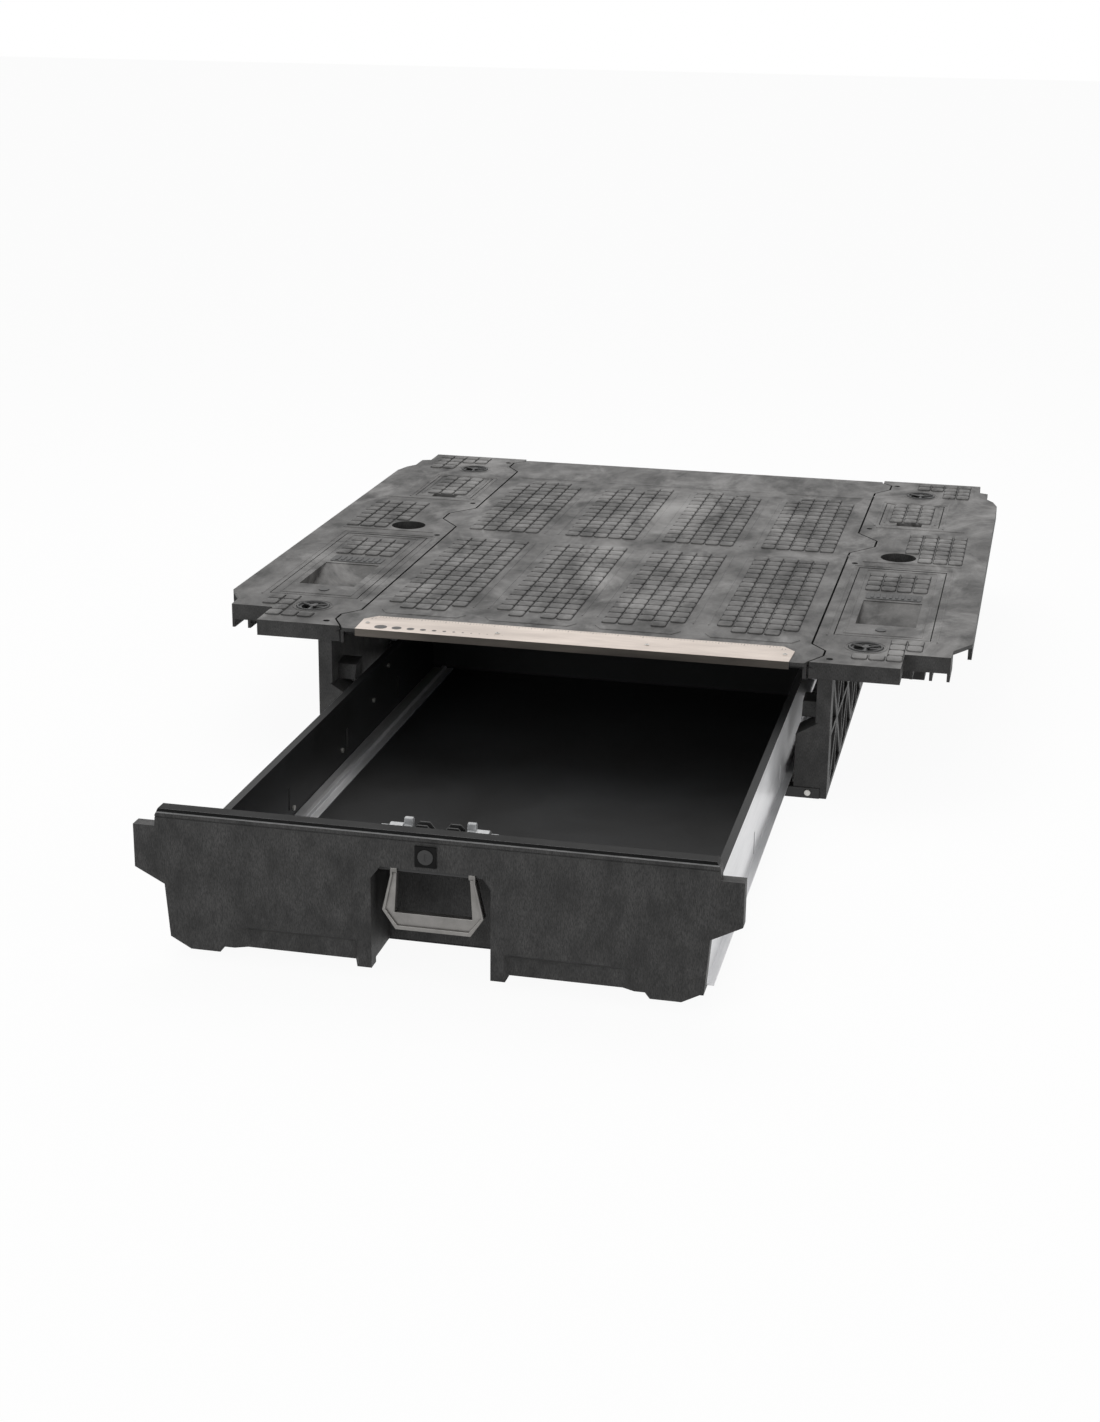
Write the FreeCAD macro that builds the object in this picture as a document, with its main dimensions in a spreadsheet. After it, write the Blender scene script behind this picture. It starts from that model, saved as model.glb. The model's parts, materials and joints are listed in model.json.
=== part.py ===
import FreeCAD, Part
import os
import re
import Sketcher

# Drawer system for a pick-up bed: a load deck on a case, one long drawer that pulls out at
# the front (-Y), lids over side bins, turning caps over the corner anchors.
# X right, Y towards the cab, Z up, millimetres. The drawer is stored pulled out. Every piece
# is drawn from the front edge of the measuring strip, and then moved forward as a whole, so
# that the origin is the middle of the front cross bar's underside, on the bed floor.

doc = FreeCAD.newDocument("bed_drawer")

SIZES = {
    # from the front edge of the measuring strip back to the origin
    "origin_back": 31.0,
    # deck
    "deck_top": 280.0,
    "deck_skin": 8.0,
    "deck_half": 776.0,
    "deck_back": 1662.0,
    "deck_front": 15.0,
    "skirt_low": 247.0,
    "skirt_wall": 8.0,
    "wing_front": 112.0,
    "seam_gap": 4.0,
    # tread pads
    "pad_rise": 3.0,
    "pad_wide": 29.5,
    "pad_pitch_x": 33.8,
    "pad_long": 33.6,
    "pad_pitch_y": 38.6,
    "notch_deep": 2.6,
    # measuring strip
    "strip_half": 437.0,
    "strip_back": 99.0,
    "strip_thick": 1.5,
    "strip_lip": 14.0,
    # case
    "case_plate": 7.0,
    "case_front": 18.0,
    "case_back": 1640.0,
    "case_top": 247.0,
    "bar_high": 21.0,
    "bar_deep": 30.0,
    "bar_front": 16.0,
    "floor_bolt_x": 300.0,
    "floor_bolt_hole": 4.5,
    "beam_deep": 22.0,
    # drawer
    "front_y": -992.6,
    "front_thick": 24.0,
    "lip_top": 262.0,
    "tub_half": 436.0,
    "tub_wall": 4.0,
    "tub_low": 25.0,
    "tub_floor": 6.0,
    "tub_top": 168.5,
    "tub_back": 567.4,
    "rail_thick": 2.5,
    "rail_low": 43.5,
    "recess_half": 98.0,
    "recess_deep": 104.0,
    "recess_wall": 6.0,
    "slot_low": 50.0,
    "slot_high": 94.0,
    # handle, latch, lock
    "pivot_y": -972.0,
    "pivot_z": 190.0,
    "handle_half": 8.0,
    "pin_radius": 4.0,
    "bore_play": 0.08,
    "latch_y": -940.0,
    "latch_z": 236.0,
    "lock_x": -7.0,
    "lock_z": 223.0,
    "lock_radius": 12.7,
    # rollers
    "front_roller_radius": 15.0,
    "roller_y": 60.0,
    "rear_wheel_radius": 17.0,
    "rear_wheel_z": 100.0,
    "roller_play": 0.3,
    # lids, bins, caps
    "lid_in": 500.0,
    "lid_front": 215.0,
    "lid_back": 760.0,
    "lid_gap": 2.0,
    "lid_seat": 0.4,
    "hinge_radius": 3.7,
    "hinge_inset": 5.8,
    "hinge_pin": 2.0,
    "hinge_pin_long": 5.0,
    "bin_low": 196.0,
    "bin_wall": 4.0,
    "hatch_in": 507.0,
    "hatch_front": 1175.0,
    "hatch_back": 1408.0,
    "hatch_low": 215.0,
    "cap_radius": 35.0,
    "cap_play": 0.4,
    "cap_floor": 264.0,
    "cap_front_x": 572.0,
    "cap_front_y": 141.0,
    "cap_rear_x": 584.0,
    "cap_rear_y": 1510.0,
    "anchor_x": 578.0,
    "anchor_y": 868.0,
    "anchor_radius": 40.0,
    "anchor_floor": 258.0,
}

# sizes that follow the tub's and the deck's half width, each by its own distance
FOLLOWERS = (
    ("rail_in", "tub_half", -12.0),
    ("track_in", "tub_half", 5.0),
    ("roller_in", "tub_half", 5.5),
    ("rail_foot", "tub_half", 16.0),
    ("block_in", "tub_half", 19.0),
    ("track_web", "tub_half", 20.0),
    ("bolt_x", "tub_half", 48.0),
    ("case_in", "tub_half", 64.0),
    ("case_out", "tub_half", 85.0),
    ("beam_half", "tub_half", 98.0),
    ("wing_in", "deck_half", -126.0),
    ("hatch_out", "deck_half", -126.0),
    ("lid_out", "deck_half", -82.0),
)
for name, leader, distance in FOLLOWERS:
    SIZES[name] = SIZES[leader] + distance

sheet = doc.addObject("Spreadsheet::Sheet", "dim")
for row, (name, value) in enumerate(SIZES.items(), start=1):
    sheet.set("A%d" % row, name)
    sheet.set("B%d" % row, repr(value))
    sheet.setAlias("B%d" % row, name)
doc.recompute()
V = SIZES


def bound(text):
    """An expression in which every size is read from the sheet."""
    return re.sub(r"[a-z_]{3,}", lambda m: "dim." + m.group(0), str(text))


def side(sign, low, high):
    """The ends of a span along X, mirrored for the left-hand piece."""
    if sign > 0:
        return str(low), str(high)
    return "-(%s)" % high, "-(%s)" % low


def new_body(label):
    body = doc.addObject("PartDesign::Body", label)
    body.Label = label
    return body


def box(body, x, y, z, cut=False):
    """A block between two planes each way, added to the body or cut from it."""
    kind = "PartDesign::SubtractiveBox" if cut else "PartDesign::AdditiveBox"
    item = body.newObject(kind, "block")
    for prop, span in (("Length", x), ("Width", y), ("Height", z)):
        item.setExpression(prop, bound("(%s) - (%s)" % (span[1], span[0])))
    for axis, span in (("x", x), ("y", y), ("z", z)):
        item.setExpression("Placement.Base." + axis, bound(span[0]))
    item.Refine = False
    doc.recompute([item])
    return item


TURN = {
    "x": FreeCAD.Rotation(FreeCAD.Vector(0, 1, 0), 90),
    "y": FreeCAD.Rotation(FreeCAD.Vector(1, 0, 0), -90),
    "z": FreeCAD.Rotation(),
}


def rod(body, axis, start, radius, length, cut=False):
    """A cylinder from start along +axis, added to the body or cut from it."""
    kind = "PartDesign::SubtractiveCylinder" if cut else "PartDesign::AdditiveCylinder"
    item = body.newObject(kind, "round")
    item.Placement = FreeCAD.Placement(FreeCAD.Vector(), TURN[axis])
    item.setExpression("Radius", bound(radius))
    item.setExpression("Height", bound(length))
    for name, value in zip("xyz", start):
        item.setExpression("Placement.Base." + name, bound(value))
    item.Refine = False
    doc.recompute([item])
    return item


PLANES = {"x": "YZ_Plane", "y": "XZ_Plane", "z": "XY_Plane"}


def outline(body, axis, place, loops):
    """A sketch of closed loops on an origin plane of the body, moved to place along axis."""
    sketch = body.newObject("Sketcher::SketchObject", "outline")
    plane = [f for f in body.Origin.OriginFeatures if f.Role == PLANES[axis]][0]
    sketch.AttachmentSupport = [(plane, "")]
    sketch.MapMode = "FlatFace"
    flip = "-(%s)" if axis == "y" else "%s"
    sketch.setExpression("AttachmentOffset.Base.z", bound(flip % place))
    lines = []
    joins = []
    for loop in loops:
        first = len(lines)
        count = len(loop)
        for i in range(count):
            a = FreeCAD.Vector(loop[i][0], loop[i][1], 0)
            b = FreeCAD.Vector(loop[(i + 1) % count][0], loop[(i + 1) % count][1], 0)
            lines.append(Part.LineSegment(a, b))
        for i in range(count):
            joins.append(Sketcher.Constraint("Coincident", first + i, 2, first + (i + 1) % count, 1))
    sketch.addGeometry(lines, False)
    sketch.addConstraint(joins)
    return sketch


def prism(body, axis, low, high, loops, cut=False):
    """Loops swept along axis from low to high, added to the body or cut from it."""
    if cut:
        start = low if axis == "y" else high
    else:
        start = high if axis == "y" else low
    sketch = outline(body, axis, start, loops)
    kind = "PartDesign::Pocket" if cut else "PartDesign::Pad"
    item = body.newObject(kind, "cut" if cut else "sweep")
    item.Profile = sketch
    item.Type = 0
    item.setExpression("Length", bound("(%s) - (%s)" % (high, low)))
    item.Refine = False
    doc.recompute()
    return item


def group(label, items):
    """Separate solids that share one file."""
    both = doc.addObject("Part::Compound", label)
    both.Links = items
    both.Label = label
    return both


def plain_box(x, y, z):
    item = doc.addObject("Part::Box", "piece")
    for prop, span in (("Length", x), ("Width", y), ("Height", z)):
        item.setExpression(prop, bound("(%s) - (%s)" % (span[1], span[0])))
    for axis, span in (("x", x), ("y", y), ("z", z)):
        item.setExpression("Placement.Base." + axis, bound(span[0]))
    return item


def plain_rod(axis, start, radius, length):
    item = doc.addObject("Part::Cylinder", "piece")
    item.Placement = FreeCAD.Placement(FreeCAD.Vector(), TURN[axis])
    item.setExpression("Radius", bound(radius))
    item.setExpression("Height", bound(length))
    for name, value in zip("xyz", start):
        item.setExpression("Placement.Base." + name, bound(value))
    return item


def rect(x0, x1, y0, y1):
    return [(x0, y0), (x1, y0), (x1, y1), (x0, y1)]


def mirrored(loop, sign):
    return [(sign * px, py) for px, py in loop]


def tread_column(x, y, rows):
    """One column of tread pads: a raised bar with a V notch between pads."""
    top = V["deck_top"] + V["pad_rise"]
    low = V["deck_top"] - 1.0
    gap = V["pad_pitch_y"] - V["pad_long"]
    points = [(y, low)]
    for i in range(rows):
        start = y + i * V["pad_pitch_y"]
        points.append((start, top))
        points.append((start + V["pad_long"], top))
        if i < rows - 1:
            points.append((start + V["pad_long"] + gap / 2, top - V["notch_deep"]))
    points.append((y + (rows - 1) * V["pad_pitch_y"] + V["pad_long"], low))
    sketch = doc.addObject("Sketcher::SketchObject", "pads")
    lines = []
    for a, b in zip(points, points[1:] + points[:1]):
        lines.append(Part.LineSegment(FreeCAD.Vector(a[0], a[1], 0), FreeCAD.Vector(b[0], b[1], 0)))
    sketch.addGeometry(lines, False)
    sketch.Placement = FreeCAD.Placement(
        FreeCAD.Vector(x, 0, 0), FreeCAD.Rotation(FreeCAD.Vector(1, 1, 1), 120))
    bar = doc.addObject("Part::Extrusion", "column")
    bar.Base = sketch
    bar.DirMode = "Custom"
    bar.Dir = FreeCAD.Vector(1, 0, 0)
    bar.setExpression("LengthFwd", bound("pad_wide"))
    bar.Solid = True
    return bar


def with_pads(label, body, columns):
    """The moulding and the tread pads on it, joined into one solid."""
    body.Label = label + "_base"
    whole = doc.addObject("Part::MultiFuse", label)
    whole.Shapes = [body] + columns
    whole.Refine = False
    whole.Label = label
    return whole


nodes = []

# load deck, middle panel
SEAM = [
    (472, 15), (497, 62), (497, 98), (466, 139), (466, 885), (517, 955), (517, 1012),
    (468, 1078), (468, 1510), (502, 1562), (502, 1612), (478, 1636), (478, V["deck_back"] - 14),
]
half_gap = V["seam_gap"] / 2
right_edge = [(463, 3), (470 - half_gap, 8)] + [(px - half_gap, py) for px, py in SEAM]
left_edge = [(-px, py) for px, py in reversed(right_edge)]
center = new_body("middle")
prism(center, "z", "deck_top - deck_skin", "deck_top", [right_edge + left_edge])
for sign in (1, -1):
    box(center, side(sign, 463, 470), (8, 18), ("skirt_low", "deck_top - deck_skin"))
GROUPS = (
    (-429.0, (0, 1, 1, 1, 0), (0, 1, 1, 1, 0)),
    (-197.0, (0, 1, 0, 1, 1), (0, 1, 0, 1, 1)),
    (32.3, (1, 1, 0, 1, 0), (1, 1, 0, 1, 0)),
    (264.3, (0, 1, 1, 1, 0), (0, 1, 1, 1, 0)),
)
FRONT_ROWS = 15
REAR_ROWS = 13
FRONT_START = 213.0
REAR_START = 870.0
columns = []
for start, fronts, rears in GROUPS:
    for i in range(5):
        x = start + i * V["pad_pitch_x"]
        extra = fronts[i]
        columns.append(tread_column(x, FRONT_START - extra * V["pad_pitch_y"], FRONT_ROWS + extra))
        columns.append(tread_column(x, REAR_START, REAR_ROWS + rears[i]))
nodes.append(with_pads("deck_center", center, columns))

# hinge lines of the lids and the hatches, inside their rear edges
LID_HINGE = "lid_back - hinge_inset"
HATCH_HINGE = "hatch_back - hinge_inset"
HINGE_Z = "deck_top - deck_skin + lid_seat + 3.8"

# load deck, side panels with openings for the lids, wells for the caps and tie-down cups
edge = V["deck_half"]
WING = [
    (edge - 126, 15), (edge - 126, 112), (edge - 36, 112), (edge - 34, 160), (edge, 218),
    (edge, 1445), (edge - 11, 1490), (edge - 28, 1520), (edge - 28, 1580), (edge - 50, 1590),
    (edge - 50, V["deck_back"]), (480, V["deck_back"]),
]
RIB_XS = (edge - 114, edge - 76, edge - 42)
SIDE_HOLES = ((511, 44), (487, 793), (489, 1128), (517, 1608))
SIDE_PADS = (
    (551, 57, 1), (584.8, 57, 1), (618.6, 57, 4), (652.4, 134.2, 2),
    (590.6, 909.2, 5), (624.4, 832, 7), (658.2, 832, 7), (692, 832, 7),
    (572, 1574.2, 2), (605.8, 1574.2, 2), (639.6, 1497, 4), (673.4, 1497, 4),
)
for sign, label in ((1, "deck_side_right"), (-1, "deck_side_left")):
    panel = new_body("wing")
    seam_edge = [(px + half_gap, py) for px, py in SEAM]
    loop = WING + [(480, V["deck_back"] - 13)] + list(reversed(seam_edge))
    holes = [
        rect(V["lid_in"], V["lid_out"], V["lid_front"], V["lid_back"]),
        rect(V["hatch_in"], V["hatch_out"], V["hatch_front"], V["hatch_back"]),
    ]
    prism(panel, "z", "deck_top - deck_skin", "deck_top",
          [mirrored(item, sign) for item in [loop] + holes])
    under = ("skirt_low", "deck_top - deck_skin")
    box(panel, side(sign, 474, "wing_in"), ("deck_front", "deck_front + skirt_wall"), under)
    box(panel, side(sign, "wing_in - skirt_wall", "wing_in"),
        ("deck_front + skirt_wall", "wing_front + skirt_wall"), under)
    box(panel, side(sign, "wing_in", "deck_half - 36"), ("wing_front", "wing_front + skirt_wall"), under)
    box(panel, side(sign, "deck_half - skirt_wall", "deck_half"), (218, 1445), under)
    box(panel, side(sign, 480, "deck_half - 50"), ("deck_back - skirt_wall", "deck_back"), under)
    for rib in RIB_XS:
        box(panel, side(sign, rib, rib + 6), ("wing_front", 205), (230, "deck_top - deck_skin"))
    for cx, cy in (("cap_front_x", "cap_front_y"), ("cap_rear_x", "cap_rear_y")):
        x = cx if sign > 0 else "-" + cx
        rod(panel, "z", (x, cy, "cap_floor - 6"), "cap_radius + 8", "deck_top - cap_floor - 1")
        rod(panel, "z", (x, cy, "cap_floor"), "cap_radius + cap_play", 30, cut=True)
        rod(panel, "z", (x, cy, "cap_floor - 8"), 10, 20, cut=True)
    x = "anchor_x" if sign > 0 else "-anchor_x"
    rod(panel, "z", (x, "anchor_y", "anchor_floor - 6"), "anchor_radius + 6",
        "deck_top - anchor_floor - 1")
    rod(panel, "z", (x, "anchor_y", "anchor_floor"), "anchor_radius", 40, cut=True)
    box(panel, side(sign, "anchor_x - 8", "anchor_x + 8"), ("anchor_y - 30", "anchor_y + 10"),
        ("anchor_floor - 8", "anchor_floor + 2"), cut=True)
    for outer, hinge_y in (("lid_out", LID_HINGE), ("hatch_out", HATCH_HINGE)):
        inner = outer.replace("out", "in")
        for low, high in ((inner + " - 6", inner + " + 1"), (outer + " - 1", outer + " + 6")):
            low, high = side(sign, low, high)
            rod(panel, "x", (low, hinge_y, HINGE_Z), "hinge_pin + bore_play", 7, cut=True)
    for hx, hy in SIDE_HOLES:
        rod(panel, "z", (sign * hx, hy, "deck_top - deck_skin - 1"), 7, 12, cut=True)
    columns = [tread_column(low if sign > 0 else -low - V["pad_wide"], y, rows)
               for low, y, rows in SIDE_PADS]
    nodes.append(with_pads(label, panel, columns))

# measuring strip along the front edge, folded down in front, with its four screws
strip = new_body("ruler_plate")
plan = [
    (-V["strip_half"], 0), (V["strip_half"], 0), (V["strip_half"] + 3, 72),
    (V["strip_half"] - 21, V["strip_back"]), (21 - V["strip_half"], V["strip_back"]),
    (-V["strip_half"] - 3, 72),
]
prism(strip, "z", "deck_top", "deck_top + strip_thick", [plan])
box(strip, ("-strip_half", "strip_half"), (0, "strip_thick"), ("deck_top - strip_lip", "deck_top"))
nodes.append(strip)
SCREWS = ((-424, 46), (-152, 40), (152, 40), (424, 46))
nodes.append(group("ruler_screws", [
    plain_rod("z", (x, y, "deck_top + strip_thick"), 4.5, 1.4) for x, y in SCREWS]))

# steel beams that carry the deck across the case
BEAM_YS = (74, 785, 1143, 1425, 1630)
nodes.append(group("deck_beams", [
    plain_box(("-beam_half", "beam_half"), (y, "%d + beam_deep" % y),
              ("case_top", "deck_top - deck_skin")) for y in BEAM_YS]))
keeper = new_body("latch_keeper")
box(keeper, (-85, 85), (24, 73.5), ("deck_top - deck_skin - 4", "deck_top - deck_skin"))
box(keeper, (-85, 85), (70.8, 73.5), ("case_top + 2", "deck_top - deck_skin - 4"))
nodes.append(keeper)

# case walls: a plate, a web of triangular cells outside, a front post and rail pads inside
BAR_YS = (16, 800, 1604)
RAIL_PADS = (440, 820, 1210, 1585)
CELLS = 14
for sign, label in ((1, "case_wall_right"), (-1, "case_wall_left")):
    wall = new_body(label)
    tall = (0, "case_top")
    deep = ("case_front", "case_back")
    box(wall, side(sign, "case_in", "case_in + case_plate"), deep, tall)
    cells = [rect(V["case_front"], V["case_back"], 0, V["case_top"])]
    bay = (V["case_back"] - V["case_front"] - 60) / CELLS
    for i in range(CELLS):
        y0 = V["case_front"] + 42 + i * bay
        y1 = y0 + bay - 9
        mid = V["case_top"] / 2
        for z0, z1 in ((12, mid - 5), (mid + 5, V["case_top"] - 12)):
            if (i + (z0 > 20)) % 2:
                cells.append([(y0, z0), (y1 - 12, z0), (y0, z1 - 12)])
                cells.append([(y1, z0 + 12), (y1, z1), (y0 + 12, z1)])
            else:
                cells.append([(y0 + 12, z0), (y1, z0), (y1, z1 - 12)])
                cells.append([(y0, z0 + 12), (y1 - 12, z1), (y0, z1)])
    web = ("case_in + case_plate", "case_out") if sign > 0 else ("-case_out", "-case_in - case_plate")
    prism(wall, "x", web[0], web[1], cells)
    foot = [(V["block_in"], V["bar_high"]), (V["case_in"], V["bar_high"]), (V["case_in"], 155),
            (V["case_in"] - 3, 155), (V["block_in"], 130)]
    prism(wall, "y", "case_front", "case_front + 20", [mirrored(foot, sign)])
    low_foot = [(V["block_in"], 48), (V["case_in"], 48), (V["case_in"], 155),
                (V["case_in"] - 3, 155), (V["block_in"], 130)]
    prism(wall, "y", "case_front + 20", "case_front + 72", [mirrored(low_foot, sign)])
    box(wall, side(sign, "block_in", "case_in"), ("case_front + 28", "case_front + 72"),
        (0, 48))
    box(wall, side(sign, "case_in - 8", "case_in"), ("case_front", "case_front + 40"),
        (155, "case_top"))
    prism(wall, "x", *side(sign, "case_in - 40", "case_in"),
          [[(70, 150), (118, 135), (118, 186), (78, 180)]])
    for y in RAIL_PADS:
        box(wall, side(sign, "track_web + rail_thick", "case_in"), (y, y + 30), (84, 116))
    for y in BAR_YS:
        box(wall, side(sign, "tub_half + 4", "case_in + case_plate"), (y, "%d + bar_deep" % y),
            (-1, "bar_high"), cut=True)
    nodes.append(wall)

# cross bars on the bed floor, bolted through the walls
for y, label in zip(BAR_YS, ("crossbar_front", "crossbar_mid", "crossbar_rear")):
    bar = new_body(label)
    box(bar, ("-case_in - case_plate", "case_in + case_plate"), (y, "%d + bar_deep" % y),
        (0, "bar_high"))
    if y == BAR_YS[2]:
        for x in ("-floor_bolt_x", "floor_bolt_x"):
            rod(bar, "z", (x, "%d + bar_deep / 2" % y, -1), "floor_bolt_hole", "bar_high + 2", cut=True)
    nodes.append(bar)
nodes.append(group("crossbar_bolts", [
    plain_rod("y", (x, "bar_front - 4", 12), 6, 4) for x in ("-bolt_x", "bolt_x")]
    + [plain_rod("y", (x, "%d + bar_deep" % BAR_YS[2], 12), 6, 4) for x in ("-bolt_x", "bolt_x")]))

# galvanised tracks on the case for the drawer's rear wheels
for sign, label in ((1, "case_track_right"), (-1, "case_track_left")):
    track = new_body(label)
    run = (420, 1625)
    low = "rear_wheel_z - rear_wheel_radius - roller_play"
    high = "rear_wheel_z + rear_wheel_radius + roller_play"
    box(track, side(sign, "track_web", "track_web + rail_thick"), run,
        ("%s - rail_thick" % low, "%s + rail_thick" % high))
    box(track, side(sign, "track_in", "track_web"), run, ("%s - rail_thick" % low, low))
    box(track, side(sign, "track_in", "track_web"), run, (high, "%s + rail_thick" % high))
    nodes.append(track)

# front rollers on the posts, and the drawer's rear wheels
FRONT_Z = "rail_low - roller_play - front_roller_radius"
REAR_Y = "tub_back - 30"
rollers = []
for sign, tag in ((1, "right"), (-1, "left")):
    x = "roller_in" if sign > 0 else "-roller_in - 9"
    wheel = new_body("front_roller_" + tag)
    rod(wheel, "x", (x, "roller_y", FRONT_Z), "front_roller_radius", 9)
    rod(wheel, "x", (x + " - 1", "roller_y", FRONT_Z), "pin_radius + bore_play", 11, cut=True)
    rollers.append(wheel)
    wheel = new_body("rear_wheel_" + tag)
    rod(wheel, "x", (x, REAR_Y, "rear_wheel_z"), "rear_wheel_radius", 9)
    rod(wheel, "x", (x + " - 1", REAR_Y, "rear_wheel_z"), "pin_radius + bore_play", 11, cut=True)
    rollers.append(wheel)
nodes += rollers
nodes.append(group("front_roller_pins", [
    plain_rod("x", ("track_in", "roller_y", FRONT_Z), "pin_radius", "block_in - track_in"),
    plain_rod("x", ("-block_in", "roller_y", FRONT_Z), "pin_radius", "block_in - track_in")]))
nodes.append(group("rear_wheel_pins", [
    plain_rod("x", ("tub_half + rail_thick", REAR_Y, "rear_wheel_z"), "pin_radius", 12.5),
    plain_rod("x", ("-tub_half - rail_thick - 12.5", REAR_Y, "rear_wheel_z"), "pin_radius", 12.5)]))

# bins below the side lids and the small rear hatches
for sign, tag in ((1, "right"), (-1, "left")):
    tub = new_body("side_bin_" + tag)
    rim = ("deck_top - deck_skin - 4", "deck_top - deck_skin")
    box(tub, side(sign, "lid_in - 8", "lid_out + 8"), ("lid_front - 8", "lid_back + 8"), rim)
    box(tub, side(sign, 508, "lid_out - 8"), (223, 751), (250, rim[0]))
    box(tub, side(sign, "case_out + 1", "lid_out - 8"), (223, 751), ("bin_low", 250))
    box(tub, side(sign, 512, "lid_out - 12"), (227, 747), (254, 280), cut=True)
    box(tub, side(sign, "case_out + 1 + bin_wall", "lid_out - 12"), (227, 747),
        ("bin_low + bin_wall", 256), cut=True)
    nodes.append(tub)
    tub = new_body("hatch_bin_" + tag)
    box(tub, side(sign, "hatch_in - 8", "hatch_out + 8"), ("hatch_front - 8", "hatch_back + 8"),
        rim)
    box(tub, side(sign, "case_out + 1", "hatch_out - 8"), (1187, 1396), ("hatch_low", rim[0]))
    box(tub, side(sign, "case_out + 1 + bin_wall", "hatch_out - 12"), (1191, 1392),
        ("hatch_low + bin_wall", 280), cut=True)
    nodes.append(tub)

# side lids with a finger pocket, a lock and tread pads; small hatches with a finger notch
lid_z = ("deck_top - deck_skin + lid_seat", "deck_top")


def hinge_edge(body, sign, inner, outer, hinge_y):
    """A rounded rear edge with a pin at each end, on the hinge line."""
    low = side(sign, inner + " + lid_gap", outer + " - lid_gap")[0]
    width = "%s - %s - 2*lid_gap" % (outer, inner)
    rod(body, "x", (low, hinge_y, HINGE_Z), "hinge_radius", width)
    rod(body, "x", (low + " - hinge_pin_long", hinge_y, HINGE_Z), "hinge_pin",
        width + " + 2*hinge_pin_long")


for sign, tag in ((1, "right"), (-1, "left")):
    lid = new_body("lid_" + tag)
    box(lid, side(sign, "lid_in + lid_gap", "lid_out - lid_gap"),
        ("lid_front + lid_gap", LID_HINGE + " - 0.5"), lid_z)
    hinge_edge(lid, sign, "lid_in", "lid_out", LID_HINGE)
    box(lid, side(sign, 531, 662), (301, 492), (246, lid_z[0]))
    pocket = [(488, 281), (488, 278.5), (407, 257), (388, 250), (305, 250), (305, 281)]
    prism(lid, "x", *side(sign, 535, 658), [pocket], cut=True)
    rod(lid, "z", ("590" if sign > 0 else "-590", 268, 260), 11.3, 30, cut=True)
    lows = [531 + i * V["pad_pitch_x"] for i in range(4)]
    columns = [tread_column(x if sign > 0 else -x - V["pad_wide"], 570, 4) for x in lows]
    nodes.append(with_pads("side_lid_" + tag, lid, columns))
    lock = new_body("lid_lock_" + tag)
    x = "590" if sign > 0 else "-590"
    rod(lock, "z", (x, 268, 262), 11, 19.5)
    box(lock, side(sign, 585, 595), (243, 273), (258, 262))
    nodes.append(lock)
    hatch = new_body("hatch_" + tag)
    box(hatch, side(sign, "hatch_in + lid_gap", "hatch_out - lid_gap"),
        ("hatch_front + lid_gap", HATCH_HINGE + " - 0.5"), lid_z)
    hinge_edge(hatch, sign, "hatch_in", "hatch_out", HATCH_HINGE)
    box(hatch, side(sign, 548, 608), ("hatch_front", "hatch_front + 30"), (260, 290), cut=True)
    lows = [530 + i * V["pad_pitch_x"] for i in range(3)]
    columns = [tread_column(x if sign > 0 else -x - V["pad_wide"], 1207, 5) for x in lows]
    nodes.append(with_pads("rear_hatch_" + tag, hatch, columns))

# turning caps over the four corner anchors, each with three finger hollows
for sign, tag in ((1, "right"), (-1, "left")):
    for spot in ("front", "rear"):
        cx = "cap_%s_x" % spot
        cx = cx if sign > 0 else "-" + cx
        cy = "cap_%s_y" % spot
        cap = new_body("anchor_cap_%s_%s" % (spot, tag))
        rod(cap, "z", (cx, cy, "cap_floor + 0.3"), "cap_radius", "deck_top - cap_floor - 1.3")
        px = sign * V["cap_%s_x" % spot]
        py = V["cap_%s_y" % spot]
        for a, b in ((-1, 1), (-1, -1)):
            prism(cap, "z", "cap_floor + 6", "deck_top", [[
                (px + 4, py + b * 5), (px + 24, py + b * 5), (px + 17, py + b * 20),
                (px + 4, py + b * 26)]], cut=True)
        prism(cap, "z", "cap_floor + 6", "deck_top", [[
            (px - 5, py - 24), (px - 5, py + 24), (px - 19, py + 17), (px - 25, py),
            (px - 19, py - 17)]], cut=True)
        nodes.append(cap)

# drawer front: one moulded panel with a lip, shoulder tabs, feet and a hand recess
front = new_body("drawer_front")
lip = V["lip_top"]
half = [
    (453, lip), (459, 250), (460, 231), (497, 231), (497, 157), (447, 131), (440, 40),
    (405, 21), (355, 21), (347, 31), (127, 31), (122, 22), (98, 22),
]
top_recess = [(98, 178), (82, 199)]
loop = half + top_recess + [(-x, z) for x, z in reversed(half + top_recess)]
prism(front, "y", "front_y", "front_y + front_thick", [loop])
inner = [(98, 31), (98, 178), (82, 199)]
outer = [(88, 205), (104, 184), (104, 31)]
hood = inner + [(-x, z) for x, z in reversed(inner)]
hood += [(-x, z) for x, z in reversed(outer)] + outer
prism(front, "y", "front_y + front_thick", "front_y + recess_deep", [hood])
back = [(104, 31), (104, 184), (88, 205), (-88, 205), (-104, 184), (-104, 31)]
prism(front, "y", "front_y + recess_deep", "front_y + recess_deep + recess_wall", [back])
rod(front, "x", ("-recess_half + 9", "pivot_y", "pivot_z"), "pin_radius + 0.05",
    "2*recess_half - 18", cut=True)
nodes.append(front)

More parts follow.
